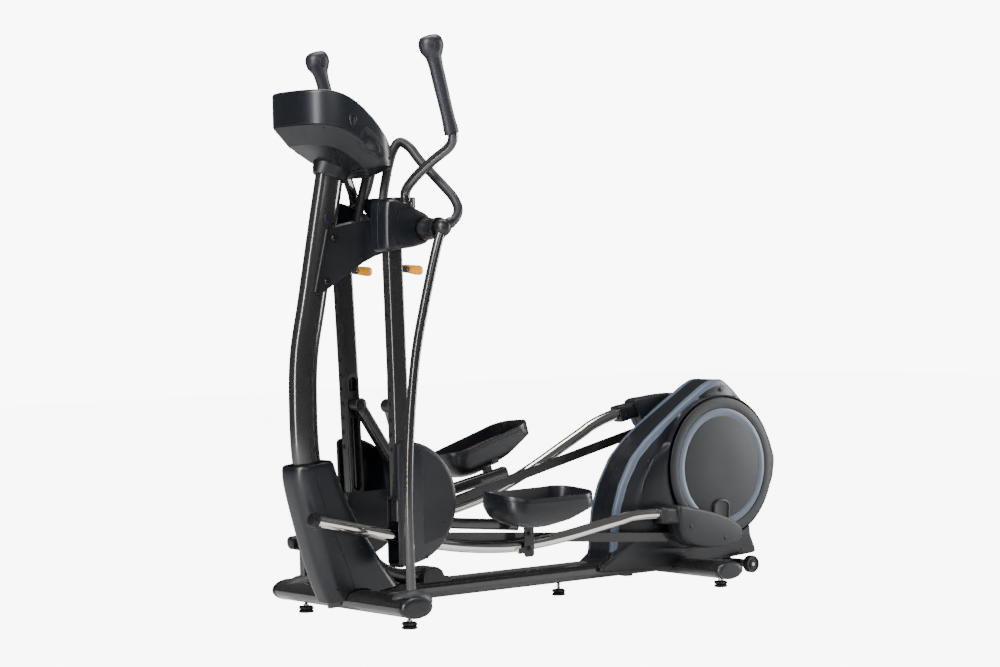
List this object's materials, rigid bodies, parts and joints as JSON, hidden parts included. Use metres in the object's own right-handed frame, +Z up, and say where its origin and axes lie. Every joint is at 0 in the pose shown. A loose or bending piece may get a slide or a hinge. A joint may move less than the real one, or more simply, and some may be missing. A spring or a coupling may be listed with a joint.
{
  "type": "elliptical trainer",
  "caption": "Rear-drive elliptical trainer with curved mast, console, swing arms with grips, cranked links with pedals, chrome rails and a disc-faced drive housing.",
  "frame": {"origin": "on the floor under the middle of the overall length and width", "axes": "+X towards the drive housing, +Y towards the user's right, +Z up"},
  "size_m": [1.997, 0.694, 1.7624],
  "materials": {
    "steel": "glossy dark grey powder coat",
    "plastic": "satin blue-grey charcoal moulding",
    "dark_coating": "matt black",
    "iron": "machined",
    "chrome": "polished",
    "rubber": "matt",
    "yellow": "gloss amber",
    "screen": "gloss display panel"
  },
  "bodies": {
    "frame": {"front_cross_member": "steel", "rear_cross_member": "steel", "centre_bar": "steel", "column": "steel", "brace": "steel", "hub_bracket_left": "steel", "hub_bracket_right": "steel", "hub_shaft": "steel", "side_post_left": "steel", "side_post_right": "steel", "drive_stand": "steel", "brake": "steel", "front_end_cap_left": "plastic", "front_end_cap_right": "plastic", "saddle_left": "plastic", "saddle_right": "plastic", "shroud_front": "plastic", "shroud_rear": "plastic", "tray": "plastic", "console_housing": "plastic", "console_collar": "plastic", "housing_side_left": "plastic", "housing_side_right": "plastic", "fixed_handlebar_left": "dark_coating", "fixed_handlebar_right": "dark_coating", "drive_belt": "rubber", "console_panel": "screen"},
    "crank": {"crank_axle": "iron", "crank_disc_left": "plastic", "crank_disc_right": "plastic", "drive_pulley": "iron"},
    "flywheel": {"flywheel": "iron"},
    "wheels": {"transport_wheels": "rubber"},
    "front_foot_left": {"front_foot_left": "dark_coating"},
    "front_foot_right": {"front_foot_right": "dark_coating"},
    "middle_foot": {"middle_foot": "dark_coating"},
    "rear_foot_left": {"rear_foot_left": "dark_coating"},
    "rear_foot_right": {"rear_foot_right": "dark_coating"},
    "swing_arm_left": {"arm_left": "steel", "hub_cover_left": "plastic", "moving_handlebar_left": "dark_coating", "guard_left": "plastic"},
    "slider_left": {"stride_slider_left": "iron", "link_pin_left": "iron"},
    "lever_left": {"stride_lever_left": "yellow"},
    "pedal_unit_left": {"link_left": "steel", "pedal_left": "plastic"},
    "rail_unit_left": {"rail_left": "chrome", "rail_cover_left": "plastic"},
    "swing_arm_right": {"arm_right": "steel", "hub_cover_right": "plastic", "moving_handlebar_right": "dark_coating", "guard_right": "plastic"},
    "slider_right": {"stride_slider_right": "iron", "link_pin_right": "iron"},
    "lever_right": {"stride_lever_right": "yellow"},
    "pedal_unit_right": {"link_right": "steel", "pedal_right": "plastic"},
    "rail_unit_right": {"rail_right": "chrome", "rail_cover_right": "plastic"}
  },
  "joints": [
    {"name": "crank_spin", "type": "hinge", "parent": "frame", "child": "crank", "pos_m": [0.7115, 0, 0.381], "axis": [0, 1, 0], "continuous": true},
    {"name": "flywheel_spin", "type": "hinge", "parent": "frame", "child": "flywheel", "pos_m": [0.4425, 0, 0.292], "axis": [0, 1, 0], "continuous": true},
    {"name": "wheels_roll", "type": "hinge", "parent": "frame", "child": "wheels", "pos_m": [0.8355, 0, 0.042], "axis": [0, 1, 0], "continuous": true},
    {"name": "front_foot_left_level", "type": "hinge", "parent": "frame", "child": "front_foot_left", "pos_m": [-0.7395, -0.272, 0.01], "axis": [0, 0, 1], "continuous": true},
    {"name": "front_foot_right_level", "type": "hinge", "parent": "frame", "child": "front_foot_right", "pos_m": [-0.7395, 0.272, 0.01], "axis": [0, 0, 1], "continuous": true},
    {"name": "middle_foot_level", "type": "hinge", "parent": "frame", "child": "middle_foot", "pos_m": [0.0635, 0, 0.01], "axis": [0, 0, 1], "continuous": true},
    {"name": "rear_foot_left_level", "type": "hinge", "parent": "frame", "child": "rear_foot_left", "pos_m": [0.5645, -0.235, 0.01], "axis": [0, 0, 1], "continuous": true},
    {"name": "rear_foot_right_level", "type": "hinge", "parent": "frame", "child": "rear_foot_right", "pos_m": [0.5645, 0.235, 0.01], "axis": [0, 0, 1], "continuous": true},
    {"name": "arm_swing_left", "type": "hinge", "parent": "frame", "child": "swing_arm_left", "pos_m": [-0.5875, -0.134, 1.186], "axis": [0, 1, 0], "range_deg": [-12, 12]},
    {"name": "stride_slide_left", "type": "slide", "parent": "swing_arm_left", "child": "slider_left", "axis": [-0.0105, 0, 0.9999], "range_m": [-0.02, 0.05]},
    {"name": "stride_lever_left", "type": "hinge", "parent": "swing_arm_left", "child": "lever_left", "pos_m": [-0.6295, -0.134, 1.066], "axis": [0, -1, 0], "range_deg": [0, 18], "stiffness_Nm_per_rad": 0.8, "springref_deg": -17.19},
    {"name": "pedal_swing_left", "type": "hinge", "parent": "slider_left", "child": "pedal_unit_left", "pos_m": [-0.6635, -0.09, 0.653], "axis": [0, 1, 0], "range_deg": [-12, 12]},
    {"name": "rail_swing_left", "type": "hinge", "parent": "swing_arm_left", "child": "rail_unit_left", "pos_m": [-0.6615, -0.142, 0.255], "axis": [0, 1, 0], "range_deg": [-12, 12]},
    {"name": "arm_swing_right", "type": "hinge", "parent": "frame", "child": "swing_arm_right", "pos_m": [-0.5875, 0.134, 1.186], "axis": [0, 1, 0], "range_deg": [-12, 12]},
    {"name": "stride_slide_right", "type": "slide", "parent": "swing_arm_right", "child": "slider_right", "axis": [-0.0315, 0, 0.9995], "range_m": [-0.02, 0.05]},
    {"name": "stride_lever_right", "type": "hinge", "parent": "swing_arm_right", "child": "lever_right", "pos_m": [-0.62698, 0.134, 1.06515], "axis": [0, -1, 0], "range_deg": [0, 18], "stiffness_Nm_per_rad": 0.8, "springref_deg": -17.19},
    {"name": "pedal_swing_right", "type": "hinge", "parent": "slider_right", "child": "pedal_unit_right", "pos_m": [-0.65232, 0.09, 0.65153], "axis": [0, 1, 0], "range_deg": [-12, 12]},
    {"name": "rail_swing_right", "type": "hinge", "parent": "swing_arm_right", "child": "rail_unit_right", "pos_m": [-0.64199, 0.142, 0.25365], "axis": [0, 1, 0], "range_deg": [-12, 12]}
  ],
  "couplings": [
    {"joint": "flywheel_spin", "follows": "crank_spin", "ratio": 4},
    {"joint": "pedal_swing_left", "follows": "arm_swing_left", "ratio": -1},
    {"joint": "rail_swing_left", "follows": "arm_swing_left", "ratio": -1},
    {"joint": "pedal_swing_right", "follows": "arm_swing_left", "ratio": 1},
    {"joint": "rail_swing_right", "follows": "arm_swing_left", "ratio": 1},
    {"joint": "arm_swing_right", "follows": "arm_swing_left", "ratio": -1}
  ]
}
